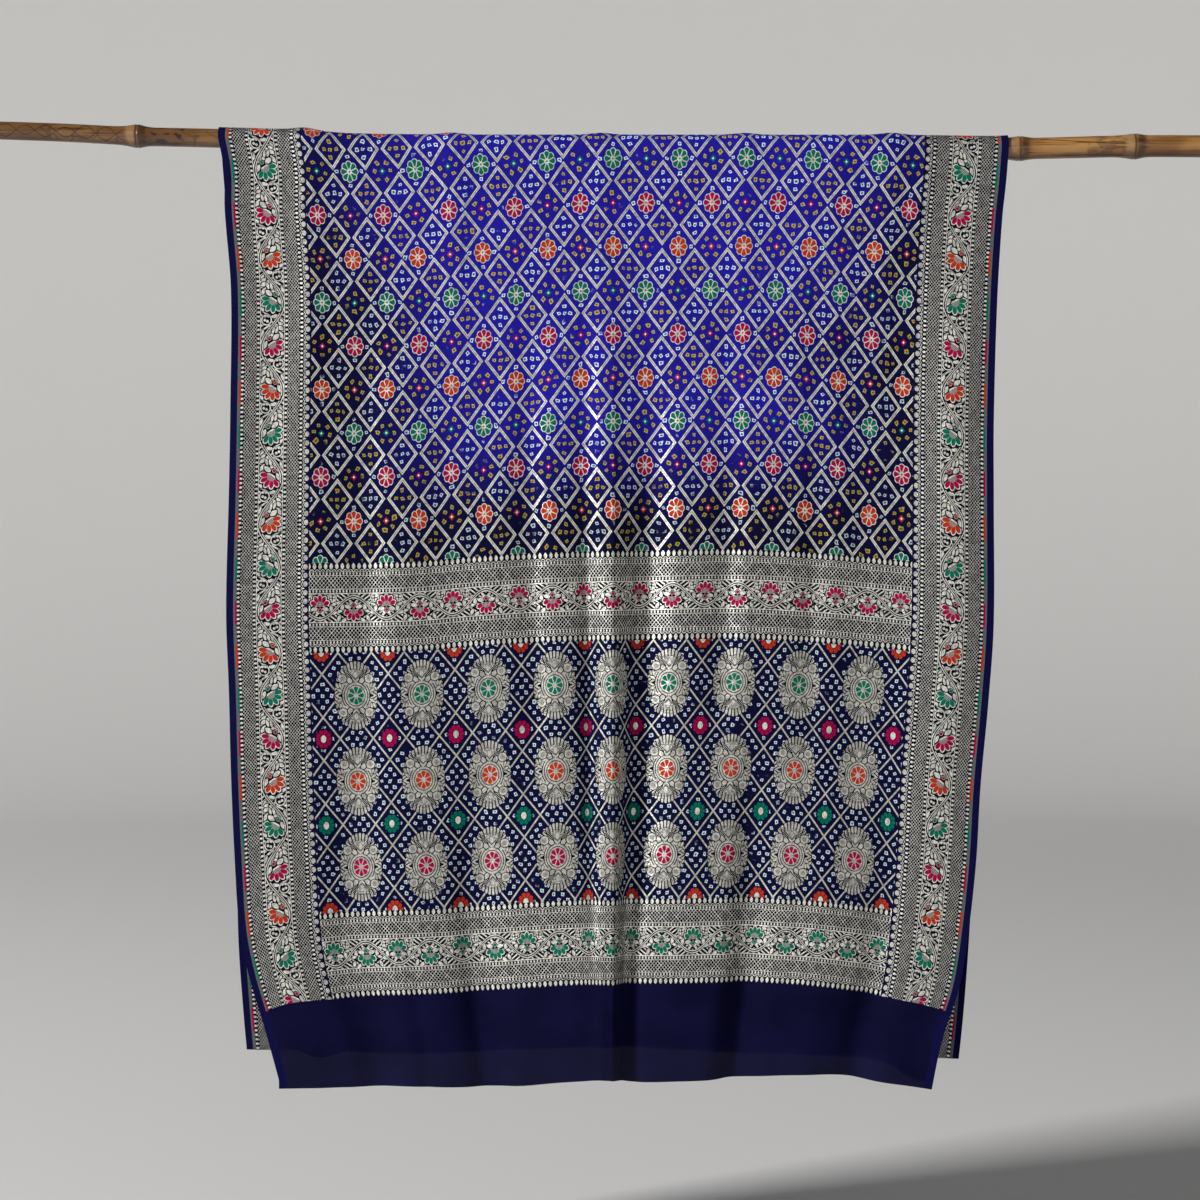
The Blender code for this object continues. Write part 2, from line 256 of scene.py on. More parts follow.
class Socket:
    """An output in a material's node tree. Python's own operators on it add Math nodes."""

    def __init__(self, tree, output=None):
        self.tree = tree
        self.output = output

    def node(self, kind, settings, inputs, output=0):
        """Adds any other node: its settings first, then the values or links of its sockets."""
        made = self.tree.nodes.new("ShaderNode" + kind)
        for name, setting in settings.items():
            setattr(made, name, setting)
        for name, given in inputs.items():
            if isinstance(given, Socket):
                self.tree.links.new(given.output, made.inputs[name])
            else:
                made.inputs[name].default_value = given
        return Socket(self.tree, made.outputs[output])

    def beside(self, output):
        """Another output of the node that this one comes from."""
        return Socket(self.tree, self.output.node.outputs[output])

    def attribute(self, name):
        """A number that the mesh keeps at each of its points."""
        return self.node("Attribute", {"attribute_name": name}, {}, output=2)

    def math(self, operation, *others):
        return self.node("Math", {"operation": operation}, dict(enumerate((self, *others))))

    def operator(operation):
        return lambda self, *others: self.math(operation, *others)

    __add__ = __radd__ = operator("ADD")
    __mul__ = __rmul__ = operator("MULTIPLY")
    __sub__ = operator("SUBTRACT")
    __truediv__ = operator("DIVIDE")
    __lt__ = operator("LESS_THAN")
    __gt__ = operator("GREATER_THAN")
    __abs__ = operator("ABSOLUTE")

    def __rsub__(self, other):
        return self.node("Math", {"operation": "SUBTRACT"}, {0: other, 1: self})

    def least(self, first, *others):
        least = self.math("MINIMUM", first)
        return least.least(*others) if others else least

    def most(self, first, *others):
        most = self.math("MAXIMUM", first)
        return most.most(*others) if others else most

    def within(self, middle, half):
        """1 where the value is at most half from the middle."""
        return self.math("COMPARE", middle, half)

    def repeat(self, pitch):
        """The distance, with its sign, from the nearest multiple of the pitch."""
        return self.math("WRAP", pitch / 2, -pitch / 2)

    def zigzag(self, pitch):
        """The plain distance from the nearest multiple of the pitch."""
        return self.math("PINGPONG", pitch / 2)

    def fade(self, none, full):
        """0 at none, 1 at full and soft between."""
        settings = {"interpolation_type": "SMOOTHSTEP"}
        return self.node("MapRange", settings, {0: self, 1: none, 2: full, 3: 0.0, 4: 1.0})

    def choose(self, low, high):
        """The value low where this mask is 0 and high where it is 1."""
        return self.node("Mix", {"data_type": "FLOAT"}, {0: self, 2: low, 3: high})

    def paint(self, ground, colour):
        """The colour over the ground where this mask is 1."""
        return self.node("Mix", {"data_type": "RGBA"}, {0: self, 6: ground, 7: colour}, output=2)

    def across_and_up(self, other):
        """The flat place with these two numbers."""
        return self.node("CombineXYZ", {}, {0: self, 1: other})

    def far(self, other):
        """The length of the slope of a triangle with these two sides."""
        return self.across_and_up(other).apart((0.0, 0.0))

    def apart(self, middle):
        """The distance of this flat place from a point."""
        return self.node("VectorMath", {"operation": "DISTANCE"}, {0: self, 1: (*middle, 0.0)}, output=1)

    def noise(self, scale, detail=2.0, stretch=(1.0, 1.0, 1.0), dimensions="3D"):
        """Cloudy noise on this vector, scaled and stretched."""
        size = tuple(scale * share for share in stretch)
        place = self.node("Mapping", {}, {"Vector": self, "Scale": size})
        settings = {"noise_dimensions": dimensions}
        return self.node("TexNoise", settings, {"Vector": place, "Scale": 1.0, "Detail": detail})

    def cloth_noise(self, scale, detail=0.0, stretch=(1.0, 1.0, 1.0)):
        """The same on a flat place."""
        return self.noise(scale, detail, stretch, "2D")


def start_material(name):
    """A new node material, its empty socket to build from, and its Principled shader."""
    material = bpy.data.materials.new(name)
    material.use_nodes = True
    tree = material.node_tree
    return material, Socket(tree), tree.nodes["Principled BSDF"]


def coats(ground, *layers):
    """Paints masks over a ground, each in its colour, one after the other."""
    for mask, colour in layers:
        ground = mask.paint(ground, colour)
    return ground


def feed(shader, name, socket):
    """Links a socket to one of the shader's."""
    socket.tree.links.new(socket.output, shader.inputs[name])


STRAW = (0.470, 0.235, 0.064, 1.0)
HONEY = (0.230, 0.090, 0.020, 1.0)
TOASTED_AND_SHADE = (0.045, 0.016, 0.006, 1.0)
SAP_LINE = (0.020, 0.008, 0.009, 1.0)
SCAR = (0.110, 0.060, 0.028, 1.0)
BLOOM = (0.400, 0.240, 0.110, 1.0)
LOOP_PITCH = 0.058
LOOP_SWING = 0.0080


def bamboo_skin():
    material, start, shader = start_material("bamboo_skin")
    place = start.node("TexCoord", {}, {}, output=3)
    x = start.node("SeparateXYZ", {}, {0: place})
    patches = place.noise(7.0, 3.0, (1.0, 2.0, 2.0))
    streaks = place.noise(10.0, 4.0, (1.0, 34.0, 34.0))
    fibres = place.noise(22.0, 2.0, (1.0, 60.0, 60.0))
    colour = coats(
        STRAW,
        (patches.fade(0.36, 0.62), HONEY),
        (streaks.fade(0.50, 0.74), TOASTED_AND_SHADE),
        (x.fade(0.10, -0.72) * 0.62, TOASTED_AND_SHADE),
    )
    # Sap left two lines that cross in loops on the left. A long scratch is on the right, and lines wander
    above = start.attribute("above_axis")
    wander = place.noise(18.0, 1.5, (1.0, 1.6, 1.6))
    contour = abs(wander - 0.5).fade(0.016, 0.004)
    where = x.fade(-0.50, -0.62).most(place.noise(3.1, 1.0).fade(0.62, 0.70)) * 0.5
    swing = (x * (2 * pi / LOOP_PITCH)).math("SINE") * LOOP_SWING + (wander - 0.5) * 0.012
    loops = abs(above - swing).least(abs(above + swing)).fade(0.0009, 0.0004) * x.fade(-0.705, -0.715)
    scratch = abs(above + (x - 0.624) * 0.085 - 0.0112).fade(0.0007, 0.0003) * x.within(0.686, 0.064)
    stains = place.noise(60.0, 3.0, (1.0, 1.8, 1.8)).fade(0.50, 0.60)
    stained = x.within(-0.655, 0.030).most(x.within(0.735, 0.045) * 0.45, x.within(0.590, 0.012) * 0.6)
    # The joints: a dark scar, a pale waxy bloom below it and toasted wood just past it
    apart = start.attribute("from_joint")
    near = start.attribute("near_joint").fade(0.5, 1.0)
    ragged = apart + (wander - 0.5) * 0.016
    colour = coats(
        colour,
        ((contour * where).most(loops, scratch, stains * stained), SAP_LINE),
        (abs(ragged + 0.008).fade(0.010, 0.003) * near * 0.45, BLOOM),
        (abs(ragged - 0.008).fade(0.009, 0.003) * near * (0.25 + 0.75 * streaks), TOASTED_AND_SHADE),
        (abs(apart).fade(0.0022, 0.0008) * near * 0.90, SCAR),
        # Painted shade: the underside of the pole is darker
        (above.fade(-0.006, -0.015) * (0.30 + 0.60 * streaks), TOASTED_AND_SHADE),
    )
    feed(shader, "Base Color", colour)
    feed(shader, "Roughness", 0.20 + 0.20 * patches)
    shader.inputs["Coat Weight"].default_value = 0.35
    shader.inputs["Coat Roughness"].default_value = 0.12
    height = fibres * 0.5 + streaks * 0.5
    relief = start.node("Bump", {}, {"Strength": 0.22, "Distance": 0.0006, "Height": height})
    feed(shader, "Normal", relief)
    return material


bamboo_culm = make_pole()
bamboo_culm.data.materials.append(bamboo_skin())
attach(bamboo_culm, "root")
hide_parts("bamboo_pole")


# The saree's fall: one woven length, 1.15 m wide, folded in half and hung over the pole with its worked end
# in front. Its seat on the pole, its folds and its hems are the solid's, on a net of a few millimetres.

CLOTH_WIDTH = 1.150
CLOTH_THICKNESS = 0.0010
LAYER_PITCH = 0.0019
SEAT_CLEARANCE = 0.0005
LOOP_RADIUS = 0.0045
LOOP_HEIGHT = 0.050
JOINT_STRIP = 0.020
HALF_WIDTH = CLOTH_WIDTH / 2

# Half widths of the hanging cloth, by the drop below the pole's axis
FRONT_OUTLINE = table(
    "drop left right",
    (0, 575, 575), (50, 566, 571), (107, 565, 565), (224, 556, 558), (400, 557, 553), (516, 559, 553),
    (692, 563, 553), (808, 559, 545), (925, 556, 534), (1042, 551, 527), (1158, 543, 514),
    (1224, 529, 502), (1297, 507, 478), (1373, 486, 462),
)
BACK_OUTLINE = table(
    "drop left right",
    (0, 575, 575), (224, 560, 560), (662, 560, 551), (808, 557, 546), (1027, 552, 530), (1173, 549, 521),
    (1275, 542, 513), (1335, 536, 506),
)

# Lower edges, by the place across the flat cloth
PALLU_HEM = table(
    "across z",
    (-575, -1373), (-380, -1370), (-195, -1370), (-90, -1361), (-20, -1358), (50, -1363), (160, -1360),
    (390, -1351), (480, -1362), (575, -1373),
)
INNER_END = table(
    "across z",
    (-575, -1307), (-535, -1315), (-500, -1328), (-450, -1319), (-365, -1306), (0, -1311), (270, -1313),
    (420, -1325), (495, -1336), (535, -1357), (575, -1363),
)
BACK_FOLD = table(
    "across z",
    (-575, -1321), (-300, -1326), (0, -1318), (300, -1329), (575, -1335),
)

# How much lower the weft lines hang than their bow alone would put them, at three drops
WEFT_SAG = table(
    "across high middle low",
    (-575, 0, 2, 21), (-528, 4, 2, 9), (-450, 10, 4, 7), (-372, 15, 7, 6), (-294, 15, 8, 6),
    (-216, 11, 4, 5), (-140, 10, 1, 0), (-65, 6, -1, -4), (30, 4, -2, -3), (108, 4, -4, -5),
    (186, 2, -6, -8), (263, 2, -5, -8), (340, 4, -2, -7), (418, 5, 2, 0), (451, 7, 4, 5),
    (496, 12, 8, 10), (520, 14, 9, 13), (575, 15, 11, 23),
)
SAG_HIGH, SAG_MIDDLE, SAG_MIDDLE_ENDS, SAG_LOW = 0.03, 0.56, 0.78, 1.22  # drops

# Vertical folds. A positive depth pushes the cloth back, away from the side that shows the pallu.
# It grows from one drop, start, to another, full, and dies out before a third, gone, or never does
NEVER = 9000
DYING_OUT = 0.35
FRONT_FOLDS = table(
    "across width depth start full gone",
    (-372, 24, 6, 50, 600, 1050), (-240, 32, 9, 50, 600, 1000), (-128, 20, 9, 50, 600, 1050),
    (-42, 16, 12, 100, 750, 1250), (60, 28, 22, 100, 750, 1250), (178, 22, 9, 50, 600, 1050),
    (306, 20, 9, 50, 600, 1050), (400, 75, 12, 0, 400, 1150), (500, 35, -6, 0, 400, 1200),
    (36, 28, 20, 900, 1250, NEVER), (-45, 85, -14, 750, 1200, NEVER), (-409, 45, 12, 700, 1150, NEVER),
    (-325, 12, 2, 800, 1150, NEVER), (-215, 36, 14, 700, 1150, NEVER), (-236, 14, 6, 800, 1100, NEVER),
    (165, 55, -8, 750, 1200, NEVER), (238, 34, 13, 700, 1150, NEVER), (222, 14, 5, 800, 1100, NEVER),
    (355, 45, -7, 750, 1200, NEVER), (437, 34, 12, 800, 1200, NEVER),
)
BACK_FOLDS = table(
    "across width depth start full gone",
    (-440, 50, 8, 50, 1100, NEVER), (-300, 45, -6, 50, 1100, NEVER), (-160, 40, 9, 100, 1200, NEVER),
    (10, 60, 10, 20, 800, NEVER), (170, 40, -5, 100, 1100, NEVER), (290, 45, 10, 50, 1200, NEVER),
    (430, 40, -6, 100, 1100, NEVER), (530, 35, 5, 300, 1200, NEVER),
)

# The pressed crease down the middle: a sharp ridge, and the cloth that it and its two troughs take up
CREASE_HEIGHT = 0.009
CREASE_WIDTH = 0.016
CREASE_STARTS = 0.10
CREASE_FULL = 0.75
TAKEN_UP_LEFT = 0.012
TAKEN_UP_RIGHT = 0.014
REACH_LEFT = 0.075
REACH_RIGHT = 0.050
TAKEN_UP_STARTS = 0.42
TAKEN_UP_FULL = 0.80
TAKEN_UP_MORE = 1.15  # and how much more of it there is that far down
MORE_TAKEN_UP = 0.40

# Distances up the flat cloth from the pallu's hem, in the middle of the cloth
PLAIN_END = 0.1345  # where the worked part starts
LOWER_BAND = 0.258
UPPER_BAND = 0.635
BODY_START = 0.7655
POLE_FRONT = 1.358  # level with the pole's axis, in front
FRONT_STRETCH = 1.480  # where the front piece is joined to the back one, just behind the pole
BORDER_WIDTH = 0.1215
INNER_PLAIN = 0.280  # the plain weave before the inner end

# The weft lines sag towards the selvedges
SAG_LEFT = 0.020
SAG_RIGHT = 0.015

# The flat cloth's net
CREASE_STEP = 0.0025
CREASE_STRIP = 0.025
SIDE_STEP = 0.0070
ROW_STEP = 0.0070
POLE_ROW_STEP = 0.0035
HEM_ROWS = 24
BACK_ROWS = 120
LOOP_ROWS = 10
WRAP_ROWS = 20


def rise(value, low, high):
    """0 below low, 1 above high and smooth between."""
    share = min(max((value - low) / (high - low), 0.0), 1.0)
    return share * share * (3.0 - 2.0 * share)


def seat_radius(across):
    """The radius that the inner face of the cloth keeps round the pole's axis."""
    bump = max(joint.swell * exp(-(((across - joint.x) / JOINT_STRIP) ** 2)) for joint in POLE_JOINTS)
    return pole_radius(across) + bump + SEAT_CLEARANCE


def fold_depth(folds, across, drop):
    """How far the folds push a fall back, away from the side that shows the pallu."""
    return sum(
        fold.depth
        * exp(-(((across - fold.across) / fold.width) ** 2))
        * rise(drop, fold.start, fold.full)
        * (1.0 - rise(drop, fold.gone - DYING_OUT, fold.gone))
        for fold in folds
    )


def slack(across, drop):
    """The small soft unevenness that limp cloth keeps between its folds."""
    waves = sin(31 * across + 2.1 * drop) + 0.7 * sin(57 * across - 3.4 * drop + 1.0)
    ripples = sin(88 * across + 9.0 * drop + 2.0) * sin(5.5 * drop + 7 * across)
    return rise(drop, 0.01, 0.30) * (0.0009 * waves + 0.0006 * ripples)


def hanging_x(outline, across, drop, drawn_in):
    """The place along the pole of a point of a fall, drawn in towards the crease."""
    if across < 0:
        taken_up, reach, half = TAKEN_UP_LEFT, REACH_LEFT, read_off(outline, drop, "left")
    else:
        taken_up, reach, half = TAKEN_UP_RIGHT, REACH_RIGHT, read_off(outline, drop, "right")
    taken_up *= drawn_in
    aside = abs(across) / HALF_WIDTH * (half + taken_up) - taken_up * rise(abs(across), 0.0, reach)
    return -aside if across < 0 else aside


def front_fall(across, drop, layer):
    """A point of the front fall, so far below the pole's axis."""
    depth, top = pole_axis(across)
    crease = CREASE_HEIGHT * rise(drop, CREASE_STARTS, CREASE_FULL) * exp(-abs(across) / CREASE_WIDTH)
    y = depth - layer + fold_depth(FRONT_FOLDS, across, drop) - crease + slack(across, drop)
    drawn_in = rise(drop, TAKEN_UP_STARTS, TAKEN_UP_FULL)
    drawn_in += MORE_TAKEN_UP * rise(drop, TAKEN_UP_FULL, TAKEN_UP_MORE)
    return hanging_x(FRONT_OUTLINE, across, drop, drawn_in), y, top - drop


def back_bottom(across):
    """The height at which the back's layers meet the loop."""
    return read_off(BACK_FOLD, across, "z") + LOOP_RADIUS


def back_fall(across, drop, side):
    """A point of the back fall, whose two layers part towards the loop. side is 1 on the outer layer."""
    depth, top = pole_axis(across)
    z = top - drop
    bottom = back_bottom(across)
    parted = 1.0 - rise(z, bottom, bottom + LOOP_HEIGHT)
    half_gap = LAYER_PITCH / 2 + (LOOP_RADIUS - LAYER_PITCH / 2) * parted
    middle = depth + seat_radius(across) + (CLOTH_THICKNESS + LAYER_PITCH) / 2
    y = middle + fold_depth(BACK_FOLDS, across, drop) + side * half_gap + slack(across + 0.4, drop)
    return hanging_x(BACK_OUTLINE, across, drop, 0.0), y, z


def loop(across, turn):
    """A point of the loop that joins the back's layers. turn runs from 0 on the outer layer to pi."""
    x, y, z = back_fall(across, pole_axis(across)[1] - back_bottom(across), 0)
    return x, y + LOOP_RADIUS * cos(turn), z - LOOP_RADIUS * sin(turn)


def over_pole(across, layer, turn):
    """A point of the stretch that lies over the pole. turn runs from 0 at the front to pi at the back."""
    depth, top = pole_axis(across)
    return across, depth - layer * cos(turn), top + layer * sin(turn)


def inner_layer(across):
    return seat_radius(across) + CLOTH_THICKNESS / 2


def outer_layer(across):
    return inner_layer(across) + LAYER_PITCH


def straight_front(across):
    """How far up the flat cloth the front fall ends, level with the pole's axis."""
    bow = SAG_LEFT if across < 0 else SAG_RIGHT
    sag = bow * (across / HALF_WIDTH) ** 2 + read_off(WEFT_SAG, across, "high")
    return POLE_FRONT + pole_axis(across)[1] + sag


def drop_of_weft(across, along):
    """How far below the pole's axis a weft line of the front hangs. It is negative past the pole's front."""
    down = straight_front(across) - along
    high, middle, low = (read_off(WEFT_SAG, across, column) for column in ("high", "middle", "low"))
    down += (middle - high) * rise(down, SAG_HIGH, SAG_MIDDLE)
    return down + (low - middle) * rise(down, SAG_MIDDLE_ENDS, SAG_LOW)


def hang_outer(across, along):
    """Where a point of the flat cloth hangs, from the pallu's hem to behind the pole."""
    down = drop_of_weft(across, along)
    layer = outer_layer(across)
    if down >= 0.0:
        return front_fall(across, down, layer)
    turn = -down / layer
    if turn <= pi:
        return over_pole(across, layer, turn)
    return back_fall(across, (turn - pi) * layer, 1)


def steps(start, end, longest):
    """Even places from start towards end, without the end."""
    count = max(1, round((end - start) / longest))
    return [start + (end - start) * i / count for i in range(count)]


def columns():
    """Where the net has a warp line: close together at the crease, and one on each border's inner edge."""
    inner_edge = HALF_WIDTH - BORDER_WIDTH
    right = steps(0.0, CREASE_STRIP, CREASE_STEP)
    right += steps(CREASE_STRIP, 2 * CREASE_STRIP, 0.004)
    right += steps(2 * CREASE_STRIP, inner_edge, SIDE_STEP)
    right += steps(inner_edge, HALF_WIDTH, SIDE_STEP)
    right.append(HALF_WIDTH)
    return [-place for place in reversed(right[1:])] + right


def front_line(across):
    """One warp line of the front piece, as places along the flat cloth and points."""
    hem = PLAIN_END + drop_of_weft(across, PLAIN_END)
    hem += read_off(PALLU_HEM, across, "z") - pole_axis(across)[1]
    places = [hem + (PLAIN_END - hem) * i / HEM_ROWS for i in range(HEM_ROWS)]
    edges = (PLAIN_END, LOWER_BAND, UPPER_BAND, BODY_START, POLE_FRONT - 0.02)
    for start, end in zip(edges, edges[1:]):
        places += steps(start, end, ROW_STEP)
    places += steps(POLE_FRONT - 0.02, FRONT_STRETCH, POLE_ROW_STEP)
    places.append(FRONT_STRETCH)
    return [(along, hang_outer(across, along)) for along in places]


def back_line(across):
    """One warp line of the back piece: its outer layer, and the loop."""
    behind = straight_front(across) + pi * outer_layer(across)
    start = FRONT_STRETCH - behind
    end = pole_axis(across)[1] - back_bottom(across)
    line = [(FRONT_STRETCH, hang_outer(across, FRONT_STRETCH))]
    for drop in [start + (end - start) * i / BACK_ROWS for i in range(1, BACK_ROWS + 1)]:
        line.append((behind + drop, back_fall(across, drop, 1)))
    for turn in [pi * i / LOOP_ROWS for i in range(1, LOOP_ROWS + 1)]:
        line.append((behind + end + turn * LOOP_RADIUS, loop(across, turn)))
    return line


def inner_line(across):
    """One warp line of the inner piece: up behind, over the pole under the outer layer, and down in front."""
    layer = inner_layer(across)
    top = pole_axis(across)[1]
    fall = top - back_bottom(across)
    start = straight_front(across) + pi * outer_layer(across) + fall + pi * LOOP_RADIUS
    line = []
    for drop in [fall * (1.0 - i / BACK_ROWS) for i in range(BACK_ROWS)]:
        line.append((start + fall - drop, back_fall(across, drop, -1)))
    start += fall
    for turn in [pi * i / WRAP_ROWS for i in range(WRAP_ROWS)]:
        line.append((start + turn * layer, over_pole(across, layer, pi - turn)))
    start += pi * layer
    fall = top - read_off(INNER_END, across, "z")
    for drop in steps(0.0, fall, fall / BACK_ROWS) + [fall]:
        line.append((start + drop, front_fall(across, drop, layer)))
    return line


# Which material a face of the saree has
BODY, BORDER, CROSS_BAND, PALLU, PLAIN = range(5)


def back_region(across, along):
    return BORDER if abs(across) > HALF_WIDTH - BORDER_WIDTH else BODY


def front_region(across, along):
    if along < PLAIN_END:
        return PLAIN
    if along > BODY_START or back_region(across, along) == BORDER:
        return back_region(across, along)
    return PALLU if LOWER_BAND < along < UPPER_BAND else CROSS_BAND


def inner_region(across, along):
    return PLAIN if along > INNER_LENGTH - INNER_PLAIN else back_region(across, along)


def make_fall(name, warp_line, region):
    """One stretch of the saree: a flat net, hung warp line by warp line, whose UV keeps its flat place."""
    places = columns()
    lines = [warp_line(across) for across in places]
    wide, long = len(lines) - 1, len(lines[0]) - 1
    net = bmesh.new()
    bmesh.ops.create_grid(net, x_segments=wide, y_segments=long, size=0.5)
    flat_place = {}
    for knot in net.verts:
        column = round((knot.co.x + 0.5) * wide)
        row = round((knot.co.y + 0.5) * long)
        along, point = lines[column][row]
        flat_place[knot] = (places[column], along)
        knot.co = point
    flat_cloth = net.loops.layers.uv.new("flat_cloth")
    for face in net.faces:
        corners = [flat_place[corner.vert] for corner in face.loops]
        for corner, place in zip(face.loops, corners):
            corner[flat_cloth].uv = place
        middle = [sum(place[i] for place in corners) / len(corners) for i in (0, 1)]
        face.material_index = region(*middle)
    return add_mesh(name, net)


INNER_LENGTH = inner_line(0.0)[-1][0]
saree_front = make_fall("saree_front", front_line, front_region)
saree_back = make_fall("saree_back", back_line, back_region)
saree_inner = make_fall("saree_inner", inner_line, inner_region)


# The saree's body: a fine navy silk crepe, with a painted sheen that turns it royal blue in the middle,
# fading out towards its sides and its pallu.
# Silvery zari diamonds and coloured flowers are woven in, and small hollow dots are tied and dyed between.

MM = 1000.0
CELL_WIDTH = 48.6  # the diamonds' lattice, in millimetres of flat cloth
CELL_HEIGHT = 64.5
FIRST_ROW = 761.6
ROYAL = (0.016, 0.011, 0.330, 1.0)
NAVY = (0.0028, 0.0027, 0.031, 1.0)
GAP = (0.0020, 0.0020, 0.012, 1.0)  # the ground in the shade between raised threads
ZARI = (0.860, 0.850, 0.770, 1.0)
# Zari painted as if in shade, for the pearls, the pallu's cell lines and its medallions
SHADED_ZARI = (0.640, 0.625, 0.560, 1.0)
GREEN = (0.000, 0.150, 0.092, 1.0)
ORANGE = (0.480, 0.034, 0.010, 1.0)
PINK = (0.350, 0.002, 0.058, 1.0)
YELLOW = (0.600, 0.460, 0.060, 1.0)
BROWN = (0.110, 0.045, 0.020, 1.0)
PALE_BLUE = (0.740, 0.890, 0.980, 1.0)
PETAL_SPREAD = pi / 8


def start_cloth(name):
    """A cloth material and its shader, and the place on the flat cloth, as mapped and in millimetres."""
    material, start, shader = start_material(name)
    shader.inputs["Specular IOR Level"].default_value = 0.06
    flat = start.node("UVMap", {"uv_map": "flat_cloth"}, {})
    across = start.node("SeparateXYZ", {}, {0: flat})
    along = across.beside(1)
    return material, shader, flat, across * MM, along * MM


def finish_cloth(shader, flat, colour, zari):
    """Silk where the zari mask is bare and metal thread where it isn't, over one fine rib, with painted shade
    in random patches.
    """
    glints = flat.cloth_noise(380.0, 1.0)
    clouds = flat.cloth_noise(95.0, 1.0)
    # Painted shade: fine random patches darken the colour everywhere, and broader ones darken the zari, for
    # threads and folds that don't catch the light
    painted_shade = glints.fade(0.60, 0.34) * 0.24 + clouds.fade(0.60, 0.36) * 0.26 * zari
    feed(shader, "Base Color", painted_shade.paint(colour, (0.0, 0.0, 0.0, 1.0)))
    feed(shader, "Metallic", zari * 0.60)
    feed(shader, "Roughness", zari.choose(0.80, 0.42))
    relief = flat.node("Bump", {}, {"Strength": 0.05 + 0.55 * zari, "Distance": 0.001, "Height": glints})
    feed(shader, "Normal", relief)


def dye_dots(ground, colour, eye_colour, apart, strength, faint):
    """Tied dots, which the dye didn't reach under the thread: a light ring round a darker eye."""
    ring = apart.fade(2.9, 2.3) * strength.fade(0.18, 0.36) * faint
    eye = apart.fade(1.65, 1.15) * strength.fade(0.18, 0.30)
    return coats(ground, (ring, colour), (eye * 0.9, eye_colour))


def uneven(flat, x, y, size):
    """A place moved by hand-tied unevenness, and two more unevennesses: a skew and a strength."""
    drift = flat.node("SeparateColor", {}, {0: flat.cloth_noise(64.0, 1.0).beside(1)})
    broad = flat.node("SeparateColor", {}, {0: flat.cloth_noise(48.0).beside(1)})
    skew = (broad - 0.5) * 1.7
    return x + (drift - 0.5) * size, y + (drift.beside(1) - 0.5) * size, skew, broad.beside(1)


def square_off(x, y, skew):
    """The distance in a square sense, turned by the skew, as a pinched and tied dot dyes."""
    return abs(x + y * skew).most(abs(y - x * skew))


def three_colours(row, first, second, third):
    """The thread that the rows of flowers take in turn."""
    turn = row.math("WRAP", 2.5, -0.5)
    return coats(first, (turn > 0.5, second), (turn > 1.5, third))


def round_flower(x, y, half_width, half_height):
    """A flower of eight petals: its whole shape, its coloured petals and its size outwards, 1 at the edge."""
    side, up = x / half_width, y / half_height
    out = side.far(up)
    turn = up.math("ARCTAN2", side).zigzag(2 * PETAL_SPREAD)
    edge = ((out * turn.math("COSINE") - 0.60) / 0.34).far(out * turn.math("SINE") / 0.31)
    between = out * (PETAL_SPREAD - turn).math("SINE")
    petals = (edge < 0.96) * (between > 0.046) * (out > 0.27)
    return (edge < 1.20).most(out < 0.60), petals, out


